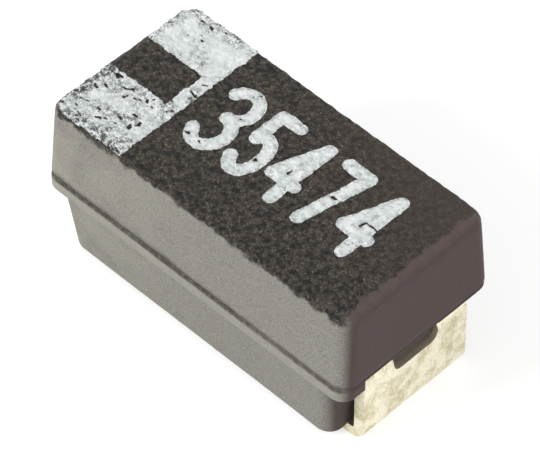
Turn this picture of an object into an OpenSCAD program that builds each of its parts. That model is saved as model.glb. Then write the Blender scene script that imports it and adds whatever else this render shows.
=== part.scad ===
// Moulded chip tantalum capacitor, 3216-18 case size, in millimetres.
// The origin is the middle of the footprint on the board. +Z is up and +X points to the cathode end.

/* [Case] */
// Length of the case at its parting plane
case_length = 3.2; // [3.1:0.05:3.8]
// Width of the case at its parting plane
case_width = 1.6; // [1.45:0.05:2.2]
// Height of the top face above the board
case_height = 1.52; // [1.46:0.01:1.9]
// Height of the parting plane, which is also the upper face of the lead frame
parting_height = 0.76; // [0.74:0.01:0.84]
// Radius of the upright corners
corner_radius = 0.13; // [0.08:0.01:0.2]
// How far each long side leans in between the parting plane and the top
upper_side_taper = 0.04; // [0.01:0.005:0.08]
// How far each end leans in between the parting plane and the top
upper_end_taper = 0.028; // [0.01:0.002:0.06]
// How far each long side leans in between the parting plane and the bottom
lower_side_taper = 0.06; // [0.01:0.005:0.09]
// How far each end leans in between the parting plane and the bottom
lower_end_taper = 0.045; // [0.01:0.005:0.08]
// Height of the rounding of the top edges
top_round_height = 0.05; // [0.02:0.005:0.1]
// Reach of the top rounding over the long sides
top_round_side = 0.025; // [0.01:0.005:0.06]
// Reach of the top rounding over the ends
top_round_end = 0.06; // [0.02:0.005:0.1]
// Depth of the crease where the upper half leaves the parting plane
crease_depth = 0.015; // [0.005:0.005:0.03]
// Height of the crease
crease_height = 0.06; // [0.02:0.01:0.1]
// How far the moulded layer between the two halves stands out past the long sides
flash_reach = 0.01; // [0.004:0.002:0.03]

/* [Terminals] */
// Width of the terminal strips outside the case
terminal_width = 1.12; // [0.9:0.02:1.3]
// Thickness of the lead frame
lead_thickness = 0.1; // [0.08:0.005:0.12]
// Inside radius of each bend
bend_radius = 0.03; // [0.01:0.005:0.05]
// How far the outer face of each terminal lies inside the end of the case
terminal_inset = 0.022; // [0.01:0.002:0.05]
// Length of each foot, from the outer face of its terminal
foot_length = 0.8; // [0.5:0.05:1.1]
// Depth of the pockets in the bottom of the case that take the feet
pocket_depth = 0.035; // [0.01:0.005:0.06]
// Clearance between a foot and the walls of its pocket
foot_gap = 0.01; // [0.005:0.005:0.03]
// Clearance between the upright leg of a terminal and the end of the lower half
leg_gap = 0.03; // [0.02:0.005:0.06]
// Width of the window that crosses the upper bend
window_width = 0.48; // [0.3:0.02:0.6]
// Depth of the window below the parting plane
window_depth = 0.2; // [0.15:0.01:0.3]
// Radius of the lower corners of the window
window_radius = 0.08; // [0.04:0.01:0.1]
// How far the window reaches into the case, from its end
window_reach = 0.22; // [0.18:0.01:0.24]
// Clearance between the edges of the window and the plastic that fills it
plug_gap = 0.02; // [0.01:0.005:0.03]
// How far that plastic lies behind the outer face of the terminal
plug_recess = 0.05; // [0.02:0.01:0.08]

/* [Lead frame inside] */
// How far the full width of the strips reaches into the case, from its end
shoulder_reach = 0.25; // [0.24:0.01:0.28]
// Width of the anode tab that carries the riser wire
anode_tab_width = 0.5; // [0.3:0.05:0.9]
// Distance between the anode tab and the pellet
anode_tab_gap = 0.22; // [0.15:0.01:0.35]
// Width of the cathode tray under the pellet
tray_width = 0.9; // [0.6:0.05:1]
// Length of the cathode tray, from the foot of its step
tray_length = 1.15; // [0.9:0.05:1.3]
// Distance of the head of the tray's step from the end of the case
step_inset = 0.3; // [0.29:0.01:0.36]
// Length of the sloping part of the step
step_run = 0.18; // [0.15:0.01:0.25]

/* [Capacitor element] */
// Length of the sintered pellet
pellet_length = 1.45; // [1.2:0.05:1.6]
// Width of the sintered pellet
pellet_width = 1; // [0.8:0.05:1.1]
// Height of the sintered pellet
pellet_height = 0.78; // [0.6:0.02:0.84]
// Clearance between the coated pellet and the foot of the tray's step
element_gap = 0.07; // [0.05:0.01:0.12]
// Diameter of the riser wire
wire_diameter = 0.2; // [0.15:0.01:0.28]
// Length of the riser wire outside the pellet
wire_reach = 0.72; // [0.5:0.02:0.8]
// Length of the riser wire inside the pellet
wire_depth = 0.6; // [0.3:0.05:0.9]
// Depth to which the weld sinks the wire into the anode tab
weld_depth = 0.02; // [0.01:0.005:0.04]
// Diameter of the insulating washer round the wire
washer_diameter = 0.5; // [0.4:0.02:0.7]
// Thickness of the insulating washer
washer_thickness = 0.07; // [0.05:0.01:0.1]
// Thickness of the manganese dioxide layer
oxide_thickness = 0.03; // [0.02:0.005:0.04]
// Thickness of the graphite layer
graphite_thickness = 0.015; // [0.01:0.005:0.02]
// Distance of the graphite layer from the wire's face of the pellet
graphite_margin = 0.08; // [0.04:0.01:0.12]
// Thickness of the silver layer
silver_thickness = 0.03; // [0.02:0.005:0.04]
// Distance of the silver layer from the wire's face of the pellet
silver_margin = 0.14; // [0.12:0.01:0.2]
// Thickness of the silver adhesive
adhesive_thickness = 0.03; // [0.02:0.005:0.05]
// Length of the silver adhesive
adhesive_length = 1; // [0.6:0.05:1.1]
// Width of the silver adhesive
adhesive_width = 0.8; // [0.5:0.05:0.9]

/* [Polarity band] */
// Thickness of the printed ink
ink_thickness = 0.01; // [0.005:0.001:0.02]
// Distance of the band's inner edge from the anode end of the case
band_length = 0.79; // [0.6:0.01:1.1]
// Width of the bar that closes the band's window
band_bar = 0.13; // [0.08:0.01:0.25]
// Width of the band's window
band_window_width = 0.4; // [0.2:0.02:0.6]
// Distance of the window's middle from the middle of the top face
band_window_offset = 0.067; // [0:0.001:0.1]

/* [Hidden] */

$fn = 48;
corner_steps = 6; // flats in each quarter of an upright corner
round_steps = 4; // flats in the rounding of the top edges
bend_steps = 8; // flats in each bend of the lead frame
past = 0.1; // how far a cut runs past the face that it opens

case_bottom = lead_thickness - pocket_depth;
frame_bottom = parting_height - lead_thickness;
case_end = case_length / 2;
lower_end_inset = terminal_inset + lead_thickness + leg_gap;
lower_end = case_end - lower_end_inset;
terminal_face = case_end - terminal_inset;
top_end_inset = upper_end_taper + top_round_end;
top_side_inset = upper_side_taper + top_round_side;

wire_height = parting_height + wire_diameter / 2 - weld_depth;
coat_thickness = oxide_thickness + graphite_thickness + silver_thickness;
step_foot = case_end - step_inset - step_run;
pellet_end = step_foot - element_gap - coat_thickness;
pellet_start = pellet_end - pellet_length;
coat_bottom = wire_height - pellet_height / 2 - coat_thickness;
tray_top = coat_bottom - adhesive_thickness;
bend_middle = bend_radius + lead_thickness / 2; // radius of a bend along the middle of the strip

// Each level of the case is its height, then how far its ends and its long sides lie inside the full size.
case_levels = concat(
    [
        [case_bottom, lower_end_inset + lower_end_taper, lower_side_taper],
        [frame_bottom, lower_end_inset, 0],
        [frame_bottom, 0, -flash_reach],
        [parting_height, 0, -flash_reach],
        [parting_height, crease_depth, crease_depth],
        [parting_height + crease_height, 0, 0]
    ],
    [
        for (i = [0:round_steps])
        let (a = 90 * i / round_steps)
        [
            case_height - top_round_height * (1 - sin(a)),
            upper_end_taper + top_round_end * (1 - cos(a)),
            upper_side_taper + top_round_side * (1 - cos(a))
        ]
    ]
);

// The outline of a rectangle with round corners, anticlockwise.
function rounded(length, width, radius) = [
    for (q = [0:3], i = [0:corner_steps])
    let (
        a = 90 * (q + i / corner_steps),
        x = (length / 2 - radius) * (q == 0 || q == 3 ? 1 : -1),
        y = (width / 2 - radius) * (q < 2 ? 1 : -1)
    )
    [x + radius * cos(a), y + radius * sin(a)]
];

function unit(v) = v / norm(v);
function left(v) = [-v[1], v[0]];
function turned(v, a) = [v[0] * cos(a) - v[1] * sin(a), v[0] * sin(a) + v[1] * cos(a)];
function reversed(list) = [for (i = [len(list) - 1:-1:0]) list[i]];

// The points of one bend: the line through a, b and c, moved to its left by shift, with an arc at b.
function bend(a, b, c, shift) =
    let (
        before = unit(b - a),
        after = unit(c - b),
        turn = atan2(before[0] * after[1] - before[1] * after[0], before * after),
        side = sign(turn),
        centre = b - before * bend_middle * tan(abs(turn) / 2) + left(before) * side * bend_middle
    )
    [
        for (i = [0:bend_steps])
        centre - turned(left(before), turn * i / bend_steps) * side * (bend_middle - side * shift)
    ];

// One face of a bent strip: its path moved to the left by shift.
function strip_face(path, shift) =
    let (last = len(path) - 1)
    concat(
        [path[0] + left(unit(path[1] - path[0])) * shift],
        [for (i = [1:last - 1]) each bend(path[i - 1], path[i], path[i + 1], shift)],
        [path[last] + left(unit(path[last] - path[last - 1])) * shift]
    );

// The side view of a strip of the lead frame's thickness that follows a path.
module strip(path) {
    polygon(concat(
        strip_face(path, lead_thickness / 2),
        reversed(strip_face(path, -lead_thickness / 2))
    ));
}

// A closed skin through the outlines of all the case's levels.
module case_skin() {
    count = 4 * (corner_steps + 1);
    top = len(case_levels) - 1;
    polyhedron(
        points = [
            for (level = case_levels)
            for (p = rounded(case_length - 2 * level[1], case_width - 2 * level[2], corner_radius))
            [p[0], p[1], level[0]]
        ],
        faces = concat(
            [[for (i = [0:count - 1]) i]],
            [[for (i = [count - 1:-1:0]) top * count + i]],
            [
                for (k = [0:top - 1], i = [0:count - 1])
                let (here = k * count, above = here + count, next = (i + 1) % count)
                each [[here + i, above + i, above + next], [here + i, above + next, here + next]]
            ]
        )
    );
}

// A block along +X with a rounded section, between two heights and two distances from the middle.
module rounded_bar(from, to, low, high, width, radius) {
    translate([from, 0, (low + high) / 2])
        rotate([90, 0, 90])
            linear_extrude(to - from)
                polygon(rounded(width, high - low, radius));
}

// The window across the upper bend of a terminal at the +X end.
module window() {
    rounded_bar(
        case_end - window_reach, case_end + past,
        parting_height - window_depth, parting_height + past,
        window_width, window_radius
    );
}

// The plastic that fills the window of a terminal at the +X end.
module window_plug() {
    rounded_bar(
        case_end - window_reach, terminal_face - plug_recess,
        parting_height - window_depth + plug_gap, parting_height + crease_height,
        window_width - 2 * plug_gap, window_radius - plug_gap
    );
}

// The room that a terminal at the +X end takes outside the plastic: its exit, and the pocket of its foot.
module terminal_room() {
    side = terminal_width / 2 + foot_gap;
    translate([lower_end, -side, frame_bottom])
        cube([lower_end_inset + past, 2 * side, lead_thickness]);
    translate([terminal_face - foot_length - foot_gap, -side, case_bottom - past])
        cube([foot_length + past, 2 * side, past + pocket_depth + foot_gap]);
}

// The corner of the moulded layer that is trimmed off beside the terminal at the +X end.
module trimmed_corner() {
    translate([lower_end, terminal_width / 2, frame_bottom])
        cube([lower_end_inset + past, case_width, lead_thickness]);
}

// A terminal at the +X end: the inner path, the exit at the parting plane, the leg and the foot.
module terminal(inner_path, inner_width) {
    middle = parting_height - lead_thickness / 2;
    leg = terminal_face - lead_thickness / 2;
    outer_path = [[leg, middle], [leg, lead_thickness / 2], [terminal_face - foot_length, lead_thickness / 2]];
    difference() {
        intersection() {
            rotate([90, 0, 0])
                linear_extrude(terminal_width, center = true)
                    strip(concat(inner_path, outer_path));
            union() {
                translate([0, -terminal_width / 2, -past])
                    cube([case_end - past, terminal_width, frame_bottom]);
                translate([case_end - shoulder_reach, -terminal_width / 2, -past])
                    cube([shoulder_reach, terminal_width, case_height]);
                translate([-case_end, -inner_width / 2, lead_thickness + foot_gap])
                    cube([case_length, inner_width, case_height]);
            }
        }
        window();
    }
}

// A block of the capacitor element: the pellet grown by a coat, from a distance along its length.
module element_block(from, grow) {
    translate([from, -pellet_width / 2 - grow, wire_height - pellet_height / 2 - grow])
        cube([pellet_end + grow - from, pellet_width + 2 * grow, pellet_height + 2 * grow]);
}

// A rod along the axis of the riser wire.
module wire_rod(from, length, diameter) {
    translate([from, 0, wire_height])
        rotate([0, 90, 0])
            cylinder(h = length, d = diameter);
}

module riser() { wire_rod(pellet_start - wire_reach, wire_reach + wire_depth, wire_diameter); }
module washer_disc() { wire_rod(pellet_start - washer_thickness, washer_thickness, washer_diameter); }
module oxide_block() { element_block(pellet_start - oxide_thickness, oxide_thickness); }
module graphite_block() { element_block(pellet_start + graphite_margin, oxide_thickness + graphite_thickness); }
module silver_block() { element_block(pellet_start + silver_margin, coat_thickness); }

module adhesive_block() {
    translate([step_foot - element_gap - adhesive_length, -adhesive_width / 2, tray_top])
        cube([adhesive_length, adhesive_width, adhesive_thickness]);
}

module case() {
    color("#6b645c")
    difference() {
        union() {
            difference() {
                case_skin();
                for (side = [0, 1]) mirror([side, 0, 0]) {
                    terminal_room();
                    trimmed_corner();
                }
            }
            for (side = [0, 1]) mirror([side, 0, 0]) window_plug();
        }
        anode_terminal();
        cathode_terminal();
        riser();
        washer_disc();
        oxide_block();
        graphite_block();
        silver_block();
        adhesive_block();
    }
}

module anode_terminal() {
    tab = pellet_start - anode_tab_gap;
    color("#d9d3b8")
    difference() {
        mirror([1, 0, 0])
            terminal([[-tab, parting_height - lead_thickness / 2]], anode_tab_width);
        riser();
    }
}

module cathode_terminal() {
    tray = tray_top - lead_thickness / 2;
    color("#d9d3b8")
    terminal([
        [step_foot - tray_length, tray],
        [step_foot, tray],
        [step_foot + step_run, parting_height - lead_thickness / 2]
    ], tray_width);
}

module tantalum_pellet() {
    color("#5b5a60")
    difference() {
        element_block(pellet_start, 0);
        riser();
    }
}

module tantalum_wire() { color("#8b8c93") riser(); }

module ptfe_washer() {
    color("#f2f2ee")
    difference() {
        washer_disc();
        riser();
    }
}

module manganese_dioxide_layer() {
    color("#2b2726")
    difference() {
        oxide_block();
        element_block(pellet_start, 0);
        washer_disc();
        riser();
    }
}

module graphite_layer() {
    color("#3c3d40")
    difference() {
        graphite_block();
        oxide_block();
    }
}

module silver_layer() {
    color("#c7c8ca")
    difference() {
        silver_block();
        graphite_block();
    }
}

module silver_adhesive() { color("#aeb0b3") adhesive_block(); }

module polarity_band() {
    color("#e6ebe9")
    translate([0, 0, case_height])
        linear_extrude(ink_thickness)
            difference() {
                intersection() {
                    polygon(rounded(
                        case_length - 2 * top_end_inset, case_width - 2 * top_side_inset, corner_radius
                    ));
                    translate([-case_end, -case_width / 2])
                        square([band_length, case_width]);
                }
                translate([-case_end, band_window_offset - band_window_width / 2])
                    square([band_length - band_bar, band_window_width]);
            }
}

case();
anode_terminal();
cathode_terminal();
tantalum_pellet();
tantalum_wire();
ptfe_washer();
manganese_dioxide_layer();
graphite_layer();
silver_layer();
silver_adhesive();
polarity_band();
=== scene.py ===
"""The looks of a moulded chip tantalum capacitor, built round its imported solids.

Lengths are worked out in millimetres and turned to metres where a mesh is made. The frame's origin is the
middle of the footprint, +Z is up and +X points to the unmarked cathode end.
"""

import math

import bmesh
import bpy
import numpy as np
from bpy.props import FloatProperty, FloatVectorProperty, IntProperty, PointerProperty, StringProperty
from mathutils import Matrix, Vector


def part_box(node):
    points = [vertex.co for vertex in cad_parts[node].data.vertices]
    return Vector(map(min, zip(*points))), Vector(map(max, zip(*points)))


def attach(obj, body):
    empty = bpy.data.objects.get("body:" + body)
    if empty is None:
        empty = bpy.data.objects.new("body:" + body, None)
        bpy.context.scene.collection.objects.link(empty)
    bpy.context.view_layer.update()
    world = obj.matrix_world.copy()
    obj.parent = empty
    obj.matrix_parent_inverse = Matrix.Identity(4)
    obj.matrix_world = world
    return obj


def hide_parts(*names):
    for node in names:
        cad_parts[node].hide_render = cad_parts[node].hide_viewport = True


bl_info = {
    "name": "Moulded chip capacitor",
    "version": (1, 0, 0),
    "blender": (4, 5, 0),
    "location": "View3D > Sidebar > Capacitor",
    "description": "Builds the finish of a moulded chip tantalum capacitor round its solids",
    "category": "Add Mesh",
}

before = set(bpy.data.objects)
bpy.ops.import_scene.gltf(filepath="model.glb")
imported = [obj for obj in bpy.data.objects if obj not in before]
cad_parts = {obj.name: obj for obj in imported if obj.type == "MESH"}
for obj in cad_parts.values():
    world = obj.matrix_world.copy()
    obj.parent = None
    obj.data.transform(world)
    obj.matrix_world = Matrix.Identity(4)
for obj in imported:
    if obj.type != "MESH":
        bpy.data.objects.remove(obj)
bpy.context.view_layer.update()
MM = 0.001


def srgb(code):
    """The linear colour of an sRGB hex value."""
    parts = [int(code[i:i + 2], 16) / 255 for i in (1, 3, 5)]
    return tuple(c / 12.92 if c <= 0.04045 else ((c + 0.055) / 1.055) ** 2.4 for c in parts)


def box_mm(node):
    """The lowest and highest corner of a solid, in millimetres."""
    return tuple(np.array(corner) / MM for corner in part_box(node))


CASE_LOW, CASE_HIGH = box_mm("case")
LEAD_LOW, LEAD_HIGH = box_mm("cathode_terminal")
ANODE_HIGH = box_mm("anode_terminal")[1]
BAND_LOW, BAND_HIGH = box_mm("polarity_band")
CASE_END = CASE_HIGH[0]
TOP = CASE_HIGH[2]
BOTTOM = CASE_LOW[2]
PARTING = LEAD_HIGH[2]
TINY = 0.001  # Less than the distance between two rows, to tell them apart.
INK_ROOT = 0.004  # How far the ink reaches under the face that it lies on.


# --- settings ---------------------------------------------------------------------------------------------


def length(name, description, default_mm):
    """A size in metres whose default is given in millimetres."""
    return FloatProperty(
        name=name, description=description, default=default_mm * MM, unit="LENGTH", precision=6
    )


def colour(name, description, code):
    """A colour whose default is an sRGB hex value."""
    return FloatVectorProperty(
        name=name, description=description, default=srgb(code), subtype="COLOR", size=3, min=0, max=1
    )


class CaseSettings(bpy.types.PropertyGroup):
    """Form and finish of the moulded case."""

    corner_radius: length("Corner radius", "Radius of the upright corners", 0.13)
    upper_side_taper: length("Upper side taper", "Lean of a long side above the parting plane", 0.04)
    upper_end_taper: length("Upper end taper", "Lean of an end above the parting plane", 0.028)
    lower_side_taper: length("Lower side taper", "Lean of a long side below the parting plane", 0.06)
    lower_end_taper: length("Lower end taper", "Lean of an end below the parting plane", 0.045)
    round_height: length("Top rounding", "Height of the rounding of the top edges", 0.05)
    round_side: length("Rounding over sides", "Reach of the top rounding over the long sides", 0.025)
    round_end: length("Rounding over ends", "Reach of the top rounding over the ends", 0.06)
    crease_depth: length("Crease depth", "Depth of the crease above the parting plane", 0.015)
    crease_height: length("Crease height", "Height of the crease above the parting plane", 0.06)
    flash_reach: length("Flash reach", "How far the layer between the halves stands out", 0.01)
    grain: length("Grain", "Spacing of the points on the top face", 0.0155)
    # The long sides are paler than the ends partly as painted light: a lit side against a shaded end of the
    # same epoxy.
    side_colour: colour("Long sides", "Colour of the blasted long sides", "#8b8880")
    end_colour: colour("Ends", "Colour of the ends", "#544847")
    top_colour: colour("Top", "Colour of the top face", "#473e35")
    # Painted shade with dirt: the crease is darkened as the shade under the upper half's wall, as well as by
    # its dirt.
    crease_shade_and_dirt_colour: colour("Crease", "Colour of the dirt in the crease", "#3a342c")


class TerminalSettings(bpy.types.PropertyGroup):
    """Form and finish of the two terminals."""

    lead_thickness: length("Lead thickness", "Thickness of the lead frame", 0.1)
    bend_radius: length("Bend radius", "Inside radius of each bend", 0.03)
    foot_length: length("Foot length", "Length of a foot from the terminal's outer face", 0.8)
    window_width: length("Window width", "Width of the window that crosses the upper bend", 0.48)
    window_depth: length("Window depth", "Depth of the window below the parting plane", 0.2)
    window_radius: length("Window radius", "Radius of the window's lower corners", 0.08)
    window_reach: length("Window reach", "How far the window reaches into the case", 0.22)
    shoulder_reach: length("Shoulder reach", "How far the full width reaches into the case", 0.25)
    tab_width: length("Anode tab width", "Width of the tab that carries the riser wire", 0.5)
    tray_width: length("Cathode tray width", "Width of the tray under the pellet", 0.9)
    tray_length: length("Cathode tray length", "Length of the tray from the foot of its step", 1.15)
    step_run: length("Step run", "Length of the sloping part of the tray's step", 0.18)
    edge_round: length("Edge rounding", "Rounding of the sheared edges", 0.016)
    tin_colour: colour("Tin", "Colour of the matt tin plate", "#efe9d3")
    shade_colour: colour("Tin mottle", "Colour of the duller grains of the plate", "#cbc3a2")


class MarkingSettings(bpy.types.PropertyGroup):
    """The printed polarity band and digits."""

    digits: StringProperty(name="Digits", description="Plain digits printed on the top face", default="35474")
    stroke: length("Stroke", "Width of a digit's stroke", 0.115)
    ink_thickness: length("Ink thickness", "Thickness of the printed ink", 0.008)
    grid: length("Grid", "Spacing of the points of the ink film", 0.0065)
    bar: length("Bar", "Width of the bar that closes the band's window", 0.13)
    window_width: length("Window width", "Width of the band's window", 0.4)
    window_offset: length("Window offset", "Distance of the window from the middle of the top", 0.067)
    ink_colour: colour("Ink", "Colour of the printed ink", "#eff4f2")


class CapacitorSettings(bpy.types.PropertyGroup):
    """Everything that the panel shows."""

    case: PointerProperty(type=CaseSettings)
    terminals: PointerProperty(type=TerminalSettings)
    marking: PointerProperty(type=MarkingSettings)
    seed: IntProperty(name="Seed", description="Start of the random patterns", default=7, min=0)


def mm(group, *names):
    """The named sizes of a settings group, in millimetres."""
    return [getattr(group, name) / MM for name in names]


# --- noise and meshes -------------------------------------------------------------------------------------


def hashed(cells, seed):
    """Whole numbers that look random, from whole-number cells: multiply, shift and fold the bits."""
    h = np.full(cells.shape[:-1], seed * 2654435761 & 0xFFFFFFFF, np.uint32)
    for axis, factor in enumerate((73856093, 19349663, 83492791)):
        h = h ^ (cells[..., axis].astype(np.uint32) * np.uint32(factor))
    h = (h ^ (h >> np.uint32(15))) * np.uint32(2246822519)
    h = (h ^ (h >> np.uint32(13))) * np.uint32(3266489917)
    return h ^ (h >> np.uint32(16))


def noise(points, cell, seed):
    """Gradient noise from about -1 to 1: each corner of a lattice holds a direction, and a point blends,
    with a smooth step, the heights of the eight slopes that meet in its cell."""
    scaled = np.asarray(points, float) / cell
    base = np.floor(scaled).astype(np.int64)
    inside = scaled - base
    fade = inside ** 3 * (inside * (inside * 6 - 15) + 10)
    total = np.zeros(scaled.shape[:-1])
    for corner in np.ndindex(2, 2, 2):
        step = np.array(corner)
        h = hashed(base + step, seed)
        turn = (h & np.uint32(0xFFFF)).astype(float) / 65536 * 2 * np.pi
        rise = (h >> np.uint32(16)).astype(float) / 32768 - 1
        flat = np.sqrt(1 - rise ** 2)
        slope = np.stack([flat * np.cos(turn), flat * np.sin(turn), rise], -1)
        weight = np.prod(np.where(step, fade, 1 - fade), -1)
        total += weight * np.sum(slope * (inside - step), -1)
    return total * 1.6


def fractal(points, cell, octaves, seed):
    """A sum of noises, each with half the cell and half the height of the one before."""
    return sum(noise(points, cell / 2 ** k, seed + k) / 2 ** k for k in range(octaves))


def smooth(low, high, value):
    """0 below low, 1 above high, and a smooth step between."""
    t = np.clip((value - low) / (high - low), 0, 1)
    return t * t * (3 - 2 * t)


def new_piece(name, points, quads, material, sharp=40, outwards=False):
    """Makes a mesh object from points in millimetres and quads, with smooth faces and sharp folds."""
    mesh = bpy.data.meshes.new(name)
    mesh.vertices.add(len(points))
    mesh.vertices.foreach_set("co", (np.asarray(points) * MM).astype(np.float32).ravel())
    mesh.loops.add(quads.size)
    mesh.loops.foreach_set("vertex_index", quads.astype(np.int32).ravel())
    mesh.polygons.add(len(quads))
    mesh.polygons.foreach_set("loop_start", np.arange(0, quads.size, 4, dtype=np.int32))
    mesh.update(calc_edges=True)
    if outwards:
        shape = bmesh.new()
        shape.from_mesh(mesh)
        bmesh.ops.recalc_face_normals(shape, faces=shape.faces)
        shape.to_mesh(mesh)
        shape.free()
    mesh.polygons.foreach_set("use_smooth", np.ones(len(mesh.polygons), bool))
    mesh.set_sharp_from_angle(angle=math.radians(sharp))
    mesh.materials.append(material)
    piece = bpy.data.objects.new(name, mesh)
    bpy.context.scene.collection.objects.link(piece)
    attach(piece, "root")
    return piece


def paint(piece, name, values):
    """Stores one value, or one colour of four channels, for each point."""
    values = np.asarray(values, np.float32)
    kind = "FLOAT" if values.ndim == 1 else "FLOAT_COLOR"
    attribute = piece.data.attributes.new(name, kind, "POINT")
    attribute.data.foreach_set("value" if values.ndim == 1 else "color", values.ravel())


def slab(upper, lower, keep):
    """A closed slab between two grids of points, where keep says which cells exist: a quad on each grid for
    each kept cell, and a quad across the edge wherever a kept cell meets one that is not kept."""
    rows, columns = upper.shape[:2]
    index = np.arange(rows * columns).reshape(rows, columns)
    under = index + rows * columns
    corners = [(slice(0, -1), slice(0, -1)), (slice(1, None), slice(0, -1)),
               (slice(1, None), slice(1, None)), (slice(0, -1), slice(1, None))]
    faces = [np.stack([index[c][keep] for c in corners], -1),
             np.stack([under[c][keep] for c in corners[::-1]], -1)]
    padded = np.pad(keep, 1)
    for here, there, start, end in (
        (padded[1:, 1:-1], padded[:-1, 1:-1], index[:, :-1], index[:, 1:]),
        (padded[1:-1, :-1], padded[1:-1, 1:], index[:-1, :], index[1:, :]),
    ):
        for one, other in ((here & ~there, False), (there & ~here, True)):
            a, b = start[one], end[one]
            a, b = (b, a) if other else (a, b)
            faces.append(np.stack([a, b, b + rows * columns, a + rows * columns], -1))
    faces = np.concatenate(faces)
    used, renumbered = np.unique(faces, return_inverse=True)
    points = np.concatenate([upper.reshape(-1, 3), lower.reshape(-1, 3)])
    return points[used], renumbered.reshape(faces.shape), used


# --- materials --------------------------------------------------------------------------------------------


def add(tree, kind, inputs=None, **settings):
    """Adds a node with its settings, its values and its links."""
    node = tree.nodes.new("ShaderNode" + kind)
    for name, value in settings.items():
        setattr(node, name, value)
    for socket, value in (inputs or {}).items():
        if isinstance(value, bpy.types.NodeSocket):
            tree.links.new(value, node.inputs[socket])
        else:
            node.inputs[socket].default_value = value
    return node


def blank(name):
    """An empty material, its node tree, its output and the Object coordinates that its patterns read."""
    material = bpy.data.materials.new(name)
    material.use_nodes = True
    tree = material.node_tree
    tree.nodes.clear()
    return material, tree, add(tree, "OutputMaterial"), add(tree, "TexCoord").outputs["Object"]


def grains(tree, coordinates, size_mm, detail=2.0, roughness=0.6):
    """Noise whose features measure about size_mm."""
    return add(tree, "TexNoise", {
        "Vector": coordinates, "Scale": 1 / (size_mm * MM), "Detail": detail, "Roughness": roughness,
    }).outputs["Fac"]


def ramp(tree, value, low, high, to_low=0.0, to_high=1.0):
    """Turns the stretch from low to high into the stretch from to_low to to_high."""
    return add(tree, "MapRange", {
        "Value": value, "From Min": low, "From Max": high, "To Min": to_low, "To Max": to_high,
    }).outputs["Result"]


def maths(tree, operation, a, b):
    """One sum, product or other operation on two values."""
    return add(tree, "Math", {0: a, 1: b}, operation=operation).outputs[0]


def mixed(tree, factor, a, b):
    """Mixes two colours."""
    a, b = (v if isinstance(v, bpy.types.NodeSocket) else (*v[:3], 1) for v in (a, b))
    return add(tree, "Mix", {0: factor, 6: a, 7: b}, data_type="RGBA").outputs[2]


def bumped(tree, height, depth_mm, strength=1.0):
    """A bump whose full height is depth_mm."""
    return add(tree, "Bump", {
        "Height": height, "Distance": depth_mm * MM, "Strength": strength,
    }).outputs["Normal"]


def moulded_epoxy(case):
    """Transfer-moulded epoxy filled with silica: dark and dull, with the fine grain of a spark-eroded mould.
    The long sides are painted paler than the ends, partly for their greying by blasting and partly as painted
    light, a lit side against shaded ends; the top is rough and catches the light in small points, partly
    painted as pale glints."""
    material, tree, out, place = blank("moulded_epoxy")
    zone = add(tree, "Attribute", attribute_name="zone")
    split = add(tree, "SeparateColor", {"Color": zone.outputs["Color"]})
    side, crease, ridge = (split.outputs[name] for name in ("Red", "Green", "Blue"))
    top = zone.outputs["Alpha"]
    axes = add(tree, "SeparateXYZ", {0: place})
    speckle = grains(tree, place, 0.013, 2, 0.8)
    middle = grains(tree, place, 0.045, 4, 0.75)
    broad = grains(tree, place, 0.35, 2)

    # Long sides: sandy from blasting, and paler than the ends partly as painted light on a lit side; paler
    # and warmer towards the marked end.
    sides = mixed(tree, ramp(tree, speckle, 0.36, 0.64), srgb("#5f5b58"), srgb("#b1aea6"))
    sides = mixed(tree, 0.55, sides, tuple(case.side_colour))
    pale = ramp(tree, axes.outputs["X"], 0.2 * MM, -1.5 * MM, 0, 0.35)
    sides = mixed(tree, maths(tree, "MULTIPLY", pale, ramp(tree, broad, 0.35, 0.6)), sides, srgb("#b5b2a2"))
    # Ends: bare resin, smooth and brown, darker than the long sides partly as painted shade.
    ends = mixed(tree, ramp(tree, middle, 0.3, 0.7, 0, 0.35), tuple(case.end_colour), srgb("#665754"))
    # Top: black resin between pale points, partly filler and partly painted glints, calmer and browner
    # towards the plain end's far corner.
    lean = add(tree, "VectorMath", {0: place, 1: (600, 1000, 0)}, operation="DOT_PRODUCT").outputs["Value"]
    calm = ramp(tree, lean, 0.3, 1.4)
    tops = mixed(tree, ramp(tree, middle, 0.42, 0.56), srgb("#090705"), tuple(case.top_colour))
    # Painted glints: the pale points stand partly for filler and partly for light caught by the rough top.
    points = maths(tree, "MULTIPLY", ramp(tree, speckle, 0.55, 0.64), ramp(tree, middle, 0.45, 0.6))
    tops = mixed(tree, points, tops, srgb("#a79f92"))
    tops = mixed(tree, maths(tree, "MULTIPLY", calm, 0.75), tops, srgb("#463a33"))

    # Red channel: long sides against ends; the paler sides are partly painted light and the darker ends
    # partly painted shade.
    base = mixed(tree, side, ends, sides)
    # Painted highlight: the layer's ridge between the halves is painted paler, as if its rim caught the
    # light.
    base = mixed(tree, maths(tree, "MULTIPLY", ridge, 0.35), base, srgb("#b3b0a4"))
    base = mixed(tree, top, base, tops)
    # Painted shade with dirt: the crease is darkened as the shade under the upper half's wall, as well as by
    # its dirt.
    shade_and_dirt = maths(tree, "MULTIPLY", crease, ramp(tree, middle, 0.25, 0.6, 0.5, 0.95))
    base = mixed(tree, shade_and_dirt, base, tuple(case.crease_shade_and_dirt_colour))

    dull = mixed(tree, top, srgb("#e0e0e0"), srgb("#a8a8a8"))
    rough_top = bumped(tree, maths(tree, "ADD", speckle, maths(tree, "MULTIPLY", middle, 2.0)), 0.022)
    rough_side = bumped(tree, speckle, 0.004, 0.6)
    normal = add(tree, "Mix", {0: top, 4: rough_side, 5: rough_top}, data_type="VECTOR").outputs[1]
    skin = add(tree, "BsdfPrincipled", {
        "Base Color": base, "Roughness": dull, "IOR": 1.5, "Specular IOR Level": 0.35, "Normal": normal,
    })
    tree.links.new(skin.outputs[0], out.inputs[0])
    return material


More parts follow.
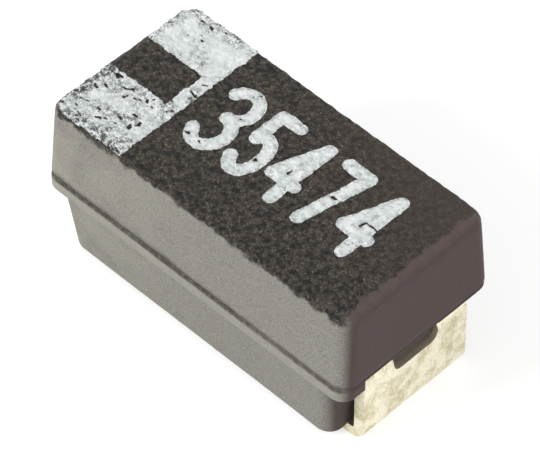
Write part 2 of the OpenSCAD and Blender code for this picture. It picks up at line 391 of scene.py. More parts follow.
def matt_tin(terminals):
    """Matt tin plated on an iron-nickel strip and then formed: a soft, slightly yellow metal with crystal
    grains a few hundredths of a millimetre wide, some of them duller."""
    material, tree, out, place = blank("matt_tin_plate")
    fine = grains(tree, place, 0.02, 3)
    patches = grains(tree, place, 0.16, 4, 0.6)
    tin, shade = tuple(terminals.tin_colour), tuple(terminals.shade_colour)
    base = mixed(tree, ramp(tree, patches, 0.42, 0.64), tin, shade)
    base = mixed(tree, ramp(tree, fine, 0.58, 0.7, 0, 0.45), base, srgb("#a39c80"))
    base = mixed(tree, ramp(tree, fine, 0.46, 0.3, 0, 0.6), base, srgb("#fffcee"))
    roughness = ramp(tree, patches, 0.35, 0.7, 0.42, 0.6)
    normal = bumped(tree, maths(tree, "ADD", fine, patches), 0.003, 0.5)
    skin = add(tree, "BsdfPrincipled", {
        "Base Color": base, "Metallic": 1.0, "Roughness": roughness, "Normal": normal,
    })
    tree.links.new(skin.outputs[0], out.inputs[0])
    return material


def marking_ink(marking):
    """Opaque white epoxy ink, pad-printed thinly on the rough top: dull, with the dark plastic showing
    through where the ink missed the hollows, and hairline cracks."""
    material, tree, out, place = blank("marking_ink")
    cover = add(tree, "Attribute", attribute_name="cover").outputs["Fac"]
    fine = grains(tree, place, 0.014, 2)
    patches = grains(tree, place, 0.04, 3, 0.75)
    wide = grains(tree, place, 0.15, 2)
    misses = maths(tree, "ADD", ramp(tree, patches, 0.42, 0.6, 0, 1.2), ramp(tree, fine, 0.52, 0.64))
    bare = maths(tree, "MULTIPLY", misses, maths(tree, "SUBTRACT", 1.0, cover))
    thin = maths(tree, "MINIMUM", bare, 1.0)
    base = mixed(tree, ramp(tree, wide, 0.4, 0.6, 0, 0.4), tuple(marking.ink_colour), srgb("#cdd5d4"))
    base = mixed(tree, thin, base, srgb("#4c4e4c"))
    normal = bumped(tree, maths(tree, "ADD", fine, patches), 0.003, 0.5)
    skin = add(tree, "BsdfPrincipled", {
        "Base Color": base, "Roughness": 0.6, "IOR": 1.5, "Specular IOR Level": 0.3, "Normal": normal,
    })
    tree.links.new(skin.outputs[0], out.inputs[0])
    return material


# Each inner finish, under what the real one is: its material's name, its solid, its two colours, its
# metalness, its roughness and its grain in millimetres.
INNER_FINISHES = {
    # Tantalum powder pressed and sintered: a dull dark sponge of fused grains.
    "sintered_tantalum": ("tantalum_pellet", "#4b4a50", "#6d6c73", 0.6, 0.8, 0.02),
    # Drawn tantalum wire: a blue-grey metal with a satin skin.
    "drawn_tantalum": ("tantalum_wire", "#7d7e87", "#96979f", 1.0, 0.4, 0.03),
    # Skived PTFE: waxy and white.
    "skived_ptfe": ("ptfe_washer", "#eeeeea", "#f7f7f4", 0.0, 0.45, 0.05),
    # Manganese dioxide grown from nitrate: black and powdery.
    "manganese_dioxide": ("manganese_dioxide_layer", "#1f1b1a", "#332e2c", 0.0, 0.9, 0.015),
    # Dipped colloidal graphite: dark grey with a faint sheen.
    "dipped_graphite": ("graphite_layer", "#303134", "#45464a", 0.2, 0.6, 0.02),
    # Silver flake paint: pale, matt and metallic.
    "silver_paint": ("silver_layer", "#b9babc", "#d6d7d9", 0.8, 0.55, 0.02),
    # Epoxy filled with silver flake: greyer than the paint.
    "silver_filled_epoxy": ("silver_adhesive", "#9fa1a4", "#bfc1c4", 0.7, 0.6, 0.03),
}


def inner_finish(name, dark, light, metallic, roughness, grain_mm):
    """A finish of two close colours mixed by its own grain, with that grain as its bump."""
    material, tree, out, place = blank(name)
    grain = grains(tree, place, grain_mm, 3)
    base = mixed(tree, ramp(tree, grain, 0.35, 0.65), srgb(dark), srgb(light))
    skin = add(tree, "BsdfPrincipled", {
        "Base Color": base, "Metallic": metallic, "Roughness": roughness,
        "Normal": bumped(tree, grain, grain_mm / 8, 0.5),
    })
    tree.links.new(skin.outputs[0], out.inputs[0])
    return material


# --- the case ---------------------------------------------------------------------------------------------


# Room beside a strip where it leaves the layer, round the plug of resin in a window, behind that plug, and
# round a foot in its pocket, in millimetres.
STRIP_GAP, PLUG_GAP, PLUG_DEPTH, POCKET_GAP = 0.012, 0.02, 0.05, 0.01
# Rounding of the bottom edges, and of the layer's lower edge in depth and height and its upper edge in depth.
FOOT_ROUND, LOWER_LIP, LIP_HEIGHT, UPPER_LIP = 0.02, 0.004, 0.008, 0.006
# Height above the parting plane at which the crease is deepest.
CREASE_BOTTOM = 0.025


def rounded_grid(half_x, half_y, radius, step):
    """A rectangle's grid pressed into round corners. Each point is a core, from -1 to 1 on each axis of the
    rectangle that the corner circles' centres span, and an offset in units of the radius. In a corner the
    square of side 1 becomes a quarter disc: the larger coordinate is the distance, and the
    ratio the angle."""
    x = np.linspace(-half_x, half_x, round(2 * half_x / step) + 1)
    y = np.linspace(-half_y, half_y, round(2 * half_y / step) + 1)
    grid = np.stack(np.meshgrid(x, y, indexing="ij"), -1)
    inner = np.array([half_x - radius, half_y - radius])
    core = np.clip(grid / inner, -1, 1)
    over = np.maximum(np.abs(grid) - inner, 0) / radius
    reach = over.max(-1)
    turn = np.arctan2(over[..., 1], over[..., 0])
    near = np.minimum(over[..., 0], over[..., 1]) / np.maximum(reach, 1e-9)
    angle = np.where(turn < np.pi / 4, near * np.pi / 4, np.pi / 2 - near * np.pi / 4)
    offset = reach[..., None] * np.stack([np.cos(angle), np.sin(angle)], -1) * np.sign(grid)
    offset[over == 0] = 0
    return core, offset


def border(grid):
    """The border of a grid of points or numbers, anticlockwise."""
    return np.concatenate([grid[:-1, 0], grid[-1, :-1], grid[:0:-1, -1], grid[0, :0:-1]])


def along(start, end, count):
    """Evenly spaced rows from start to end, without the last."""
    return np.linspace(start, end, count, endpoint=False)


def case_profile(case, lead):
    """The rows of the case's wall from the bottom to the top: the height, the inset of the ends and the inset
    of the long sides. Straight walls are evenly spaced, and each rounding is a quarter of an ellipse."""
    up_side, up_end, low_side, low_end, height, over_side, over_end, depth, crease, flash = mm(
        case, "upper_side_taper", "upper_end_taper", "lower_side_taper", "lower_end_taper",
        "round_height", "round_side", "round_end", "crease_depth", "crease_height", "flash_reach"
    )
    thickness = lead[0]
    ledge = CASE_END - LEAD_HIGH[0] + thickness + lead[1]
    layer = PARTING - thickness
    a = np.linspace(0, np.pi / 2, 8)[1:]
    b = np.linspace(0, np.pi / 2, 4)[:-1]
    rows = [
        np.stack([BOTTOM + FOOT_ROUND * (1 - np.cos(b)), ledge + low_end + FOOT_ROUND * (1 - np.sin(b)),
                  low_side + FOOT_ROUND * (1 - np.sin(b))], -1),
        along((BOTTOM + FOOT_ROUND, ledge + low_end, low_side), (layer, ledge, 0), 20),
        along((layer, ledge, 0), (layer, LOWER_LIP, -flash + LOWER_LIP), 4),
        along((layer, LOWER_LIP, -flash + LOWER_LIP), (layer + LIP_HEIGHT, 0, -flash), 2),
        along((layer + LIP_HEIGHT, 0, -flash), (PARTING - LIP_HEIGHT, 0, -flash), 5),
        along((PARTING - LIP_HEIGHT, 0, -flash), (PARTING, UPPER_LIP, -flash + UPPER_LIP), 2),
        along((PARTING, UPPER_LIP, -flash + UPPER_LIP), (PARTING + CREASE_BOTTOM, depth, depth), 5),
        along((PARTING + CREASE_BOTTOM, depth, depth), (PARTING + crease, 0, 0), 4),
        along((PARTING + crease, 0, 0), (TOP - height, up_end, up_side), 27),
        np.array([[TOP - height, up_end, up_side]]),
        np.stack([TOP - height * (1 - np.sin(a)), up_end + over_end * (1 - np.cos(a)),
                  up_side + over_side * (1 - np.cos(a))], -1),
    ]
    return np.concatenate(rows), ledge, layer


def top_relief(points, seed):
    """Height of the rough top face: hollows a few hundredths of a millimetre wide on a slight swell, calmer
    towards the far corner of the plain end."""
    calm = smooth(0.5, 1.5, 0.6 * points[..., 0] + points[..., 1])
    return (0.0075 - 0.005 * calm) * fractal(points, 0.06, 2, seed) + 0.004 * noise(points, 0.5, seed + 9)


def case_surface(case, terminals, seed):
    """The whole skin of the case: a wall of rows carried round a rectangle with round corners, closed by a
    rounded grid at the top and at the bottom. Noise moves each point along the wall's own direction."""
    radius = case.corner_radius / MM
    half_x, half_y = CASE_END, CASE_HIGH[1] - case.flash_reach / MM
    core, offset = rounded_grid(half_x, half_y, radius, case.grain / MM)
    thickness, bend = mm(terminals, "lead_thickness", "bend_radius")
    rows, ledge, layer = case_profile(case, (thickness, bend))
    centres = np.array([half_x - radius, half_y - radius])

    def placed(core, offset, end, side, height):
        flat = core * (centres - np.stack([end, side], -1)) + offset * radius
        return np.concatenate([flat, np.broadcast_to(height, flat.shape[:-1])[..., None]], -1)

    ring_core, ring_out = border(core), border(offset)
    z, end, side = (rows[:, k][:, None] for k in range(3))
    count = len(ring_core)
    z, end, side = (np.broadcast_to(v, (len(rows), count)).copy() for v in (z, end, side))
    rest = placed(ring_core[None], ring_out[None], end, side, z)

    width, window, window_deep = LEAD_HIGH[1], *mm(terminals, "window_width", "window_depth")
    y, at_end = rest[..., 1], np.abs(ring_out[:, 0])[None] > 0.99
    strip = at_end & (np.abs(y) < width + STRIP_GAP)
    inside_layer = (z > layer - TINY) & (z < PARTING - TINY)
    trimmed = y > width
    end[inside_layer & (strip | trimmed)] = ledge
    in_window = (np.abs(y) < window / 2 - PLUG_GAP) & (z > PARTING - window_deep + PLUG_GAP)
    plug = at_end & in_window & (z < PARTING + TINY)
    end[plug] = CASE_END - LEAD_HIGH[0] + PLUG_DEPTH

    rest = placed(ring_core[None], ring_out[None], end, side, z)
    worn = smooth(TOP - 0.1, TOP - 0.01, z)
    drift = 0.5 + 0.5 * smooth(1.2, -0.6, rest[..., 0]) + 0.35 * noise(rest, 0.3, seed + 21)
    reach = PARTING + 0.04 + 0.06 * drift + 0.02 * noise(rest, 0.07, seed + 23)
    above = 1 - smooth(0, 1, (z - PARTING - 0.01) / (reach - PARTING))
    crease = smooth(PARTING - 0.012, PARTING + 0.004, z) * above
    ridge = smooth(layer - 0.01, layer + 0.01, z) * smooth(PARTING + 0.01, PARTING - 0.01, z)
    move = 0.0012 * fractal(rest, 0.04, 2, seed + 20) + 0.004 * noise(rest, 0.9, seed + 22)
    move += worn * (0.006 * noise(rest, 0.11, seed + 24) + 0.005 * noise(rest, 0.045, seed + 25) - 0.004)
    sideways = smooth(0.35, 0.95, np.abs(ring_out[:, 1]))[None]
    move += crease * sideways * 0.004 * noise(rest, 0.06, seed + 26)
    move += ridge * sideways * 0.003 * noise(rest, 0.07, seed + 28)
    outward = np.concatenate([ring_out, np.zeros((count, 1))], -1)[None]
    wall = rest + move[..., None] * outward
    lift = smooth(TOP - 0.03, TOP, z)
    wall[..., 2] += lift * top_relief(wall * [1, 1, 0], seed)
    tone = np.zeros((len(rows), count, 4))
    tone[..., 0] = sideways
    # Green channel: where the crease is darkened, as painted shade under the upper wall with dirt, stronger
    # on the long sides and towards the marked end.
    tone[..., 1] = np.clip(crease * (0.2 + 0.8 * sideways) * (0.55 + 0.6 * drift), 0, 1)
    # Blue channel: the layer's ridge on the long sides, painted paler as a highlight.
    tone[..., 2] = ridge * sideways
    spill = z + 0.035 * noise(rest, 0.09, seed + 30) + 0.02 * noise(rest, 0.03, seed + 31)
    marked = smooth(-0.9, -1.0, ring_out[:, 0])[None] * smooth(TOP - 0.03, TOP - 0.01, z)
    tone[..., 3] = np.maximum(smooth(TOP - 0.06, TOP - 0.025, spill) * sideways, marked)

    def cap(row, height, push):
        inset_end, inset_side = (np.full(core.shape[:2], rows[row, k]) for k in (1, 2))
        flat = placed(core, offset, inset_end, inset_side, height)
        flat[..., 2] += push(flat)
        return flat

    upper = cap(-1, TOP, lambda p: top_relief(p * [1, 1, 0], seed))
    upper_tone = np.zeros((*upper.shape[:2], 4))
    flat = upper * [1, 1, 0]
    # Near the plain end the top's rounded edge takes the ends' lighter brown instead of the top's colour:
    # partly its smoother band, partly a painted highlight.
    brink = half_x - upper[..., 0] - rows[-1, 1]
    wander = 0.03 * noise(flat, 0.13, seed + 32) + 0.02 * noise(flat, 0.045, seed + 33)
    upper_tone[..., 3] = smooth(0.0, 0.03, brink + wander - 0.025)
    foot_length = terminals.foot_length / MM
    pocket = thickness - BOTTOM + POCKET_GAP

    def pockets(p):
        inner = LEAD_HIGH[0] - foot_length - POCKET_GAP
        return pocket * ((np.abs(p[..., 0]) > inner) & (np.abs(p[..., 1]) < width + POCKET_GAP))

    lower = cap(0, BOTTOM, pockets)
    lower_tone = np.zeros((*lower.shape[:2], 4))

    nodes = upper.shape[0] * upper.shape[1]
    upper_index = np.arange(nodes).reshape(upper.shape[:2])
    lower_index = upper_index + nodes
    wall_index = np.arange((len(rows) - 2) * count).reshape(-1, count) + 2 * nodes
    index = np.concatenate([border(lower_index)[None], wall_index, border(upper_index)[None]])
    after = np.roll(index, -1, 1)
    around = np.stack([index[:-1], after[:-1], after[1:], index[1:]], -1).reshape(-1, 4)

    def cells(i):
        return np.stack([i[:-1, :-1], i[1:, :-1], i[1:, 1:], i[:-1, 1:]], -1).reshape(-1, 4)

    points = np.concatenate([upper.reshape(-1, 3), lower.reshape(-1, 3), wall[1:-1].reshape(-1, 3)])
    points[index[-1]] = wall[-1]
    points[index[0]] = wall[0]
    tones = np.concatenate([upper_tone.reshape(-1, 4), lower_tone.reshape(-1, 4), tone[1:-1].reshape(-1, 4)])
    quads = np.concatenate([cells(upper_index), cells(lower_index)[:, ::-1], around])
    return points, quads, tones


class CAPACITOR_OT_case(bpy.types.Operator):
    """Builds the moulded case with its grain, its crease and its worn top edges"""

    bl_idname = "capacitor.case"
    bl_label = "Case"

    def execute(self, context):
        settings = context.scene.capacitor
        points, quads, tones = case_surface(settings.case, settings.terminals, settings.seed)
        piece = new_piece("case_shell", points, quads, moulded_epoxy(settings.case), 50)
        paint(piece, "zone", tones)
        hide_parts("case")
        return {"FINISHED"}


# --- the terminals ----------------------------------------------------------------------------------------


# Spacing of the points of a terminal's path and of the cells of its faces, in millimetres.
PATH_STEP, CELL = 0.002, 0.02


def bent_path(corners, radius, step):
    """Points every step along straight runs joined by arcs of one radius, with the distance run so far. Each
    arc starts and ends the radius times the tangent of half the turn from its corner."""
    corners = np.array(corners, float)
    pieces = [corners[:1]]
    for before, corner, after in zip(corners[:-2], corners[1:-1], corners[2:]):
        a, b = ((v - u) / np.linalg.norm(v - u) for u, v in ((before, corner), (corner, after)))
        turn = math.atan2(a[0] * b[1] - a[1] * b[0], a @ b)
        side = math.copysign(1, turn)
        left = np.array([-a[1], a[0]])
        centre = corner - a * radius * math.tan(abs(turn) / 2) + left * side * radius
        t = np.linspace(0, turn, 40)[:, None]
        spoke = left * np.cos(t) + np.array([-left[1], left[0]]) * np.sin(t)
        pieces.append(centre - spoke * side * radius)
    pieces.append(corners[-1:])
    rough = np.concatenate(pieces)
    run = np.concatenate([[0], np.cumsum(np.linalg.norm(np.diff(rough, axis=0), axis=1))])
    s = np.linspace(0, run[-1], round(run[-1] / step) + 1)
    return s, np.stack([np.interp(s, run, rough[:, k]) for k in (0, 1)], -1)


def steps(marks, size):
    """Evenly spaced numbers through each of the marks, about size apart."""
    runs = [along(a, b, max(1, round((b - a) / size))) for a, b in zip(marks[:-1], marks[1:])]
    return np.concatenate([*runs, [marks[-1]]])


def terminal_surface(terminals, inner, inner_width, seed):
    """A terminal at the +X end. A strip follows its path in the XZ plane at half the thickness to either
    side. Across the upper bend the cells of the window are left out, and below it the rows start on the
    window's edge."""
    thickness, bend, foot, window, deep, corner, reach, shoulder = mm(
        terminals, "lead_thickness", "bend_radius", "foot_length", "window_width", "window_depth",
        "window_radius", "window_reach", "shoulder_reach"
    )
    face, half = LEAD_HIGH[0], LEAD_HIGH[1]
    middle, leg = PARTING - thickness / 2, face - thickness / 2
    path = [*inner, (leg, middle), (leg, thickness / 2), (face - foot, thickness / 2)]
    s, line = bent_path(path, bend + thickness / 2, PATH_STEP)
    slope = np.gradient(line, axis=0)
    slope /= np.linalg.norm(slope, axis=1)[:, None]
    left = np.stack([-slope[:, 1], slope[:, 0]], -1)

    on_leg = np.abs(line[:, 0] - leg) < 1e-4
    down = lambda height: np.interp(-height, -line[on_leg, 1], s[on_leg])
    before_bend = (line[:, 1] > middle - 1e-4) & (line[:, 0] > inner[-1][0])
    out = lambda x: np.interp(x, line[before_bend, 0], s[before_bend])
    start, widen = out(CASE_END - reach), out(CASE_END - shoulder)
    ease = down(PARTING - deep + corner)
    floor = down(PARTING - deep)

    t = steps([-half, -window / 2, -window / 2 + corner, window / 2 - corner, window / 2, half], CELL)
    above = steps([0, widen - 2 * TINY, widen, start, ease], CELL)
    below = np.linspace(0, 1, round((s[-1] - ease) / CELL) + 1)[1:]
    over = np.clip(np.abs(t) - (window / 2 - corner), 0, corner)
    edge = floor - (corner - np.sqrt(corner ** 2 - over ** 2))
    edge[np.abs(t) >= window / 2 - 1e-9] = ease
    rows_above = np.broadcast_to(above[:, None], (len(above), len(t))).copy()
    rows_above[-1] = edge
    rows = np.concatenate([rows_above, edge[None] + (s[-1] - edge[None]) * below[:, None]])
    width = np.where(rows < widen - TINY, inner_width / 2 / half, 1.0)

    position = [np.interp(rows, s, line[:, k]) for k in (0, 1)]
    across = [np.interp(rows, s, left[:, k]) for k in (0, 1)]
    centre = np.stack([position[0], width * t[None], position[1]], -1)
    normal = np.stack([across[0], np.zeros_like(rows), across[1]], -1)
    swell = 0.0015 * noise(centre, 0.12, seed + 40)[..., None]
    swell = swell * smooth(0, 0.05, rows - start)[..., None]
    outer = centre + normal * (thickness / 2 + swell)
    outer[..., 2] = np.maximum(outer[..., 2], 0)
    inner_face = centre - normal * thickness / 2
    row_hole = (rows_above[:-1, 0] >= start - 1e-6)[:, None]
    column_hole = ((t[:-1] >= -window / 2 - 1e-9) & (t[1:] <= window / 2 + 1e-9))[None]
    keep = np.ones((rows.shape[0] - 1, rows.shape[1] - 1), bool)
    keep[:len(above) - 1] &= ~(row_hole & column_hole)
    return outer, inner_face, keep


def terminal_piece(name, node, terminals, inner, inner_width, material, seed, mirrored):
    """Makes one terminal, with its sheared edges rounded, in place of its solid."""
    outer, inner_face, keep = terminal_surface(terminals, inner, inner_width, seed)
    if mirrored:
        outer, inner_face = outer * [-1, 1, 1], inner_face * [-1, 1, 1]
    points, quads, _ = slab(outer, inner_face, keep)
    piece = new_piece(name, points, quads, material, 40, outwards=True)
    edges = piece.modifiers.new("sheared_edges", "BEVEL")
    edges.width = terminals.edge_round / 2
    edges.segments = 2
    edges.limit_method = "ANGLE"
    edges.angle_limit = math.radians(50)
    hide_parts(node)
    return piece


class CAPACITOR_OT_terminals(bpy.types.Operator):
    """Builds both terminals from their path: the tab or tray inside, the window, the leg and the foot"""

    bl_idname = "capacitor.terminals"
    bl_label = "Terminals"

    def execute(self, context):
        settings = context.scene.capacitor
        terminals = settings.terminals
        tin = matt_tin(terminals)
        thickness, tab, tray, tray_length, run = mm(
            terminals, "lead_thickness", "tab_width", "tray_width", "tray_length", "step_run"
        )
        middle = PARTING - thickness / 2
        tray_height = box_mm("silver_adhesive")[0][2] - thickness / 2
        step_foot = LEAD_LOW[0] + tray_length
        terminal_piece(
            "anode_strip", "anode_terminal", terminals, [(-ANODE_HIGH[0], middle)],
            tab, tin, settings.seed, True
        )
        terminal_piece(
            "cathode_strip", "cathode_terminal", terminals,
            [(LEAD_LOW[0], tray_height), (step_foot, tray_height), (step_foot + run, middle)],
            tray, tin, settings.seed + 3, False
        )
        return {"FINISHED"}


# --- the capacitor element --------------------------------------------------------------------------------


class CAPACITOR_OT_element(bpy.types.Operator):
    """Gives the pellet, its wire, its washer and its coats their finishes"""

    bl_idname = "capacitor.element"
    bl_label = "Capacitor element"

    def execute(self, context):
        for name, (node, *finish) in INNER_FINISHES.items():
            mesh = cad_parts[node].data
            mesh.materials.clear()
            mesh.materials.append(inner_finish(name, *finish))
        return {"FINISHED"}


# --- the print --------------------------------------------------------------------------------------------


def arc(cx, cy, rx, ry, start, end, count=14):
    """Points on an ellipse from one angle to another, in degrees."""
    a = np.radians(np.linspace(start, end, count))
    return np.stack([cx + rx * np.cos(a), cy + ry * np.sin(a)], -1)


def digit_strokes(digit):
    """The centre lines of a plain digit, in a cell from 0 to 1 each way."""
    return {
        "3": [np.concatenate([arc(0.5, 0.765, 0.48, 0.235, 155, -90),
                              arc(0.5, 0.265, 0.5, 0.265, 90, -155)])],
        "4": [np.array([[0.74, 0.0], [0.74, 1.0], [0.0, 0.3], [1.0, 0.3]])],
        "5": [np.concatenate([np.array([[0.95, 1.0], [0.12, 1.0]]), arc(0.48, 0.31, 0.52, 0.31, 132, -150)])],
        "7": [np.array([[0.0, 1.0], [1.0, 1.0], [0.38, 0.0]])],
    }[digit]


def distance(points, line):
    """The distance of each point from a line of straight pieces: the least over the pieces, each measured to
    the nearest place on it."""
    a, b = line[:-1], line[1:]
    d = b - a
    t = np.clip(((points[..., None, :] - a) * d).sum(-1) / np.maximum((d ** 2).sum(-1), 1e-12), 0, 1)
    return np.linalg.norm(points[..., None, :] - a - t[..., None] * d, axis=-1).min(-1)


def without_pinches(keep):
    """Fills one cell wherever two kept cells meet only at a corner."""
    keep = keep.copy()
    for _ in range(4):
        a, b, c, d = keep[:-1, :-1], keep[1:, 1:], keep[1:, :-1], keep[:-1, 1:]
        first, second = a & b & ~c & ~d, c & d & ~a & ~b
        if not (first | second).any():
            break
        keep[1:, :-1] |= first
        keep[:-1, :-1] |= second
    return keep


def ink_film(low, high, step, thickness, depth_in, seed):
    """A film of ink where depth_in, the distance inside the printed shape, is positive: the top follows the
    rough face and thins to less than half at the edge, and the bottom lies just under that face. The border's
    points are moved down the slope of that distance towards its zero line."""
    x, y = (np.arange(a, b + step, step) for a, b in zip(low, high))
    flat = np.stack(np.meshgrid(x, y, indexing="ij"), -1)
    inside = depth_in(flat)
    centre = (inside[:-1, :-1] + inside[1:, 1:] + inside[1:, :-1] + inside[:-1, 1:]) / 4
    keep = without_pinches(centre > 0)
    around = np.pad(keep, 1)
    corners = np.stack([around[:-1, :-1], around[1:, :-1], around[:-1, 1:], around[1:, 1:]])
    rim = corners.any(0) & ~corners.all(0)
    slope = np.stack(np.gradient(inside, step), -1)
    pull = -inside[..., None] * slope / np.maximum((slope ** 2).sum(-1), 0.3)[..., None]
    size = np.linalg.norm(pull, axis=-1, keepdims=True)
    pull *= np.minimum(1, 0.6 * step / np.maximum(size, 1e-9))
    flat = flat + np.where(rim[..., None], pull, 0)
    ground = np.concatenate([flat, np.zeros((*flat.shape[:2], 1))], -1)
    height = TOP + top_relief(ground, seed)
    swell = thickness * (0.45 + 0.55 * smooth(0, 0.03, inside))
    upper = np.concatenate([flat, (height + swell)[..., None]], -1)
    lower = np.concatenate([flat, (height - INK_ROOT)[..., None]], -1)
    points, quads, used = slab(upper, lower, keep)
    return points, quads, np.tile(inside.ravel(), 2)[used]


def ragged(points, seed, amount):
    """A wander of the print's edge."""
    ground = np.concatenate([points, np.zeros((*points.shape[:-1], 1))], -1)
    return amount * (noise(ground, 0.09, seed) + 0.7 * noise(ground, 0.03, seed + 1))


def pits(points, seed, share):
    """Streaks that the ink missed, drawn out along X and gathered in loose clumps: below zero where the noise
    is lower than minus share, so a larger share leaves fewer."""
    ground = np.concatenate([points * [0.55, 1], np.zeros((*points.shape[:-1], 1))], -1)
    clumps = 0.45 * noise(ground, 0.16, seed + 3)
    return 0.05 * (fractal(ground, 0.05, 2, seed) + clumps + share)


class CAPACITOR_OT_marking(bpy.types.Operator):
    """Prints the pale band that marks the anode end, with its open window, and the plain digits beside it"""

    bl_idname = "capacitor.marking"
    bl_label = "Marking"

    # Left edge and width of each digit's cell, from the band's inner edge, and the digits' height and middle,
    # in millimetres.
    CELLS = ((0.11, 0.39), (0.52, 0.33), (0.87, 0.34), (1.24, 0.33), (1.61, 0.35))
    HEIGHT, MIDDLE = 0.76, 0.075
    # Where the digits' film starts and ends from there, and its margin above and below them.
    START, STOP, MARGIN = 0.03, 2.05, 0.05

    def execute(self, context):
        settings = context.scene.capacitor
        ink = marking_ink(settings.marking)
        self.band(settings, ink)
        self.digits(settings, ink)
        return {"FINISHED"}

    def band(self, settings, ink):
        step, thickness, bar, window, offset = mm(
            settings.marking, "grid", "ink_thickness", "bar", "window_width", "window_offset"
        )
        seed = settings.seed + 50
        radius = settings.case.corner_radius / MM
        out_x, out_y = BAND_LOW[0] - 0.03, BAND_HIGH[1] + 0.01
        inner = BAND_HIGH[0]

        def depth_in(p):
            x, y = p[..., 0], p[..., 1]
            cx, cy = out_x + radius, out_y - radius
            corner = radius - np.hypot(np.minimum(x - cx, 0), np.maximum(np.abs(y) - cy, 0))
            rectangle = np.minimum.reduce([x - out_x, inner - x, out_y - np.abs(y)])
            field = np.where((x < cx) & (np.abs(y) > cy), corner, rectangle)
            hole = np.minimum(inner - bar - x, window / 2 - np.abs(y - offset))
            shape = np.minimum(field, -hole) + ragged(p, seed, 0.016)
            return np.minimum(shape, pits(p, seed + 5, 0.52 + 0.25 * smooth(0, 0.4, y)))

        points, quads, _ = ink_film(
            (out_x, -out_y), (inner + 0.03, out_y), step, thickness, depth_in, settings.seed
        )
        piece = new_piece("polarity_print", points, quads, ink, 60)
        rim = np.minimum(points[:, 0] - out_x, out_y - np.abs(points[:, 1]))
        body = 0.15 + 0.45 * smooth(0.02, 0.16, rim) + 0.25 * smooth(0, 0.4, points[:, 1])
        paint(piece, "cover", np.clip(body + 0.5 * noise(points, 0.12, seed + 9), 0, 0.9))
        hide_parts("polarity_band")

    def digits(self, settings, ink):
        step, thickness, stroke = mm(settings.marking, "grid", "ink_thickness", "stroke")
        lines = []
        for digit, (left, width) in zip(settings.marking.digits, self.CELLS):
            low = np.array([BAND_HIGH[0] + left + stroke / 2, self.MIDDLE - (self.HEIGHT - stroke) / 2])
            size = np.array([width - stroke, self.HEIGHT - stroke])
            lines += [low + line * size for line in digit_strokes(digit)]
        seed = settings.seed + 70

        def depth_in(p):
            away = np.minimum.reduce([distance(p, line) for line in lines])
            shape = stroke / 2 - away + ragged(p, seed, 0.007)
            return np.minimum(shape, pits(p, seed + 5, 0.85))

        low = (BAND_HIGH[0] + self.START, self.MIDDLE - self.HEIGHT / 2 - self.MARGIN)
        high = (BAND_HIGH[0] + self.STOP, self.MIDDLE + self.HEIGHT / 2 + self.MARGIN)
        points, quads, inside = ink_film(low, high, step, thickness, depth_in, settings.seed)
        piece = new_piece("value_digits", points, quads, ink, 60)
        paint(piece, "cover", np.clip(0.55 + inside * 8, 0, 0.95))


# --- the stage --------------------------------------------------------------------------------------------


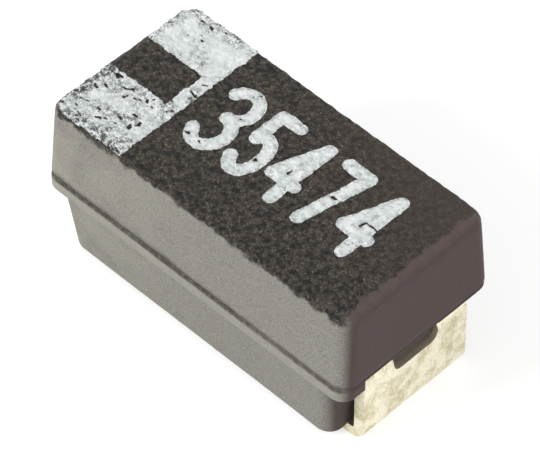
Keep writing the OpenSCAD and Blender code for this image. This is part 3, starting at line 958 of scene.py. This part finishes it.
class CAPACITOR_OT_stage(bpy.types.Operator):
    """Sets the pale floor, the soft light and the camera"""

    bl_idname = "capacitor.stage"
    bl_label = "Stage"

    # The camera looks down at one corner through a long lens: its turn, its height and its tilt in degrees,
    # its distance and its shift in millimetres, and its focal length for a sensor 36 mm wide.
    AZIMUTH, ELEVATION, ROLL = 44.47, 49.03, 0.06
    DISTANCE, RIGHT, UP, LENS = 33.25, 0.031, 0.506, 285.60

    def execute(self, context):
        scene = context.scene
        scene.view_settings.view_transform = "Standard"
        a, e, roll = (math.radians(v) for v in (self.AZIMUTH, self.ELEVATION, self.ROLL))
        back = Vector((math.sin(a) * math.cos(e), -math.cos(a) * math.cos(e), math.sin(e)))
        right = Vector((math.cos(a), math.sin(a), 0))
        up = back.cross(right)
        right, up = right * math.cos(roll) + up * math.sin(roll), up * math.cos(roll) - right * math.sin(roll)
        data = bpy.data.cameras.new("camera")
        data.lens, data.sensor_width = self.LENS, 36
        data.clip_start, data.clip_end = 1 * MM, 10
        camera = bpy.data.objects.new("camera", data)
        place = (back * self.DISTANCE + right * self.RIGHT + up * self.UP) * MM
        camera.matrix_world = Matrix.Translation(place) @ Matrix((right, up, back)).transposed().to_4x4()
        scene.collection.objects.link(camera)
        scene.camera = camera

        side, level = 400 * MM, -0.002 * MM
        corners = [(-side, -side, level), (side, -side, level), (side, side, level), (-side, side, level)]
        mesh = bpy.data.meshes.new("floor")
        mesh.from_pydata(corners, [], [(0, 1, 2, 3)])
        mesh.materials.append(self.floor_material())
        floor = bpy.data.objects.new("floor", mesh)
        scene.collection.objects.link(floor)

        self.world(scene)
        self.sun(scene, "key", (-0.35, -0.80, 0.55), 1.9, 20)
        self.sun(scene, "fill", (0.75, 0.45, 0.50), 0.5, 60)
        return {"FINISHED"}

    def seen(self, tree):
        """1 for rays from the camera, off a gloss or through glass, and 0 for those that light a
        dull surface."""
        path = add(tree, "LightPath")
        some = maths(tree, "MAXIMUM", path.outputs["Is Camera Ray"], path.outputs["Is Glossy Ray"])
        return maths(tree, "MAXIMUM", some, path.outputs["Is Transmission Ray"])

    def floor_material(self):
        """Matt white card: it keeps a soft shadow and is lifted to white where it is seen."""
        material, tree, out, _ = blank("white_card")
        card = add(tree, "BsdfDiffuse", {"Color": (*srgb("#d0d0d0"), 1)})
        glow = maths(tree, "MULTIPLY", self.seen(tree), 0.6)
        lift = add(tree, "Emission", {"Color": (1, 1, 1, 1), "Strength": glow})
        both = add(tree, "AddShader", {0: card.outputs[0], 1: lift.outputs[0]})
        tree.links.new(both.outputs[0], out.inputs[0])
        return material

    def world(self, scene):
        """A plain white room: white where it is seen, and a moderate level where it lights."""
        world = bpy.data.worlds.new("room")
        world.use_nodes = True
        tree = world.node_tree
        tree.nodes.clear()
        level = ramp(tree, self.seen(tree), 0, 1, 0.55, 1.0)
        room = add(tree, "Background", {"Color": (1, 1, 1, 1), "Strength": level})
        out = add(tree, "OutputWorld")
        tree.links.new(room.outputs[0], out.inputs[0])
        scene.world = world

    def sun(self, scene, name, towards, strength, angle):
        """A lamp far off in the direction towards, as soft as its angle in degrees."""
        data = bpy.data.lights.new(name, "SUN")
        data.energy, data.angle = strength, math.radians(angle)
        lamp = bpy.data.objects.new(name, data)
        lamp.rotation_euler = Vector(towards).to_track_quat("Z", "Y").to_euler()
        scene.collection.objects.link(lamp)


class CAPACITOR_PT_panel(bpy.types.Panel):
    """Lists the pieces in the sidebar"""

    bl_idname = "CAPACITOR_PT_panel"
    bl_label = "Moulded chip capacitor"
    bl_space_type = "VIEW_3D"
    bl_region_type = "UI"
    bl_category = "Capacitor"

    def draw(self, context):
        settings = context.scene.capacitor
        for group in (settings.case, settings.terminals, settings.marking):
            column = self.layout.column()
            for name in group.__annotations__:
                column.prop(group, name)
        self.layout.prop(settings, "seed")
        for operator in OPERATORS:
            self.layout.operator(operator.bl_idname)


OPERATORS = (
    CAPACITOR_OT_stage, CAPACITOR_OT_case, CAPACITOR_OT_terminals, CAPACITOR_OT_element,
    CAPACITOR_OT_marking,
)
CLASSES = (CaseSettings, TerminalSettings, MarkingSettings, CapacitorSettings, *OPERATORS, CAPACITOR_PT_panel)


def register():
    for kind in CLASSES:
        bpy.utils.register_class(kind)
    bpy.types.Scene.capacitor = PointerProperty(type=CapacitorSettings)


def unregister():
    del bpy.types.Scene.capacitor
    for kind in reversed(CLASSES):
        bpy.utils.unregister_class(kind)


def main():
    register()
    for operator in OPERATORS:
        group, name = operator.bl_idname.split(".")
        getattr(getattr(bpy.ops, group), name)()


if __name__ == "__main__":
    main()
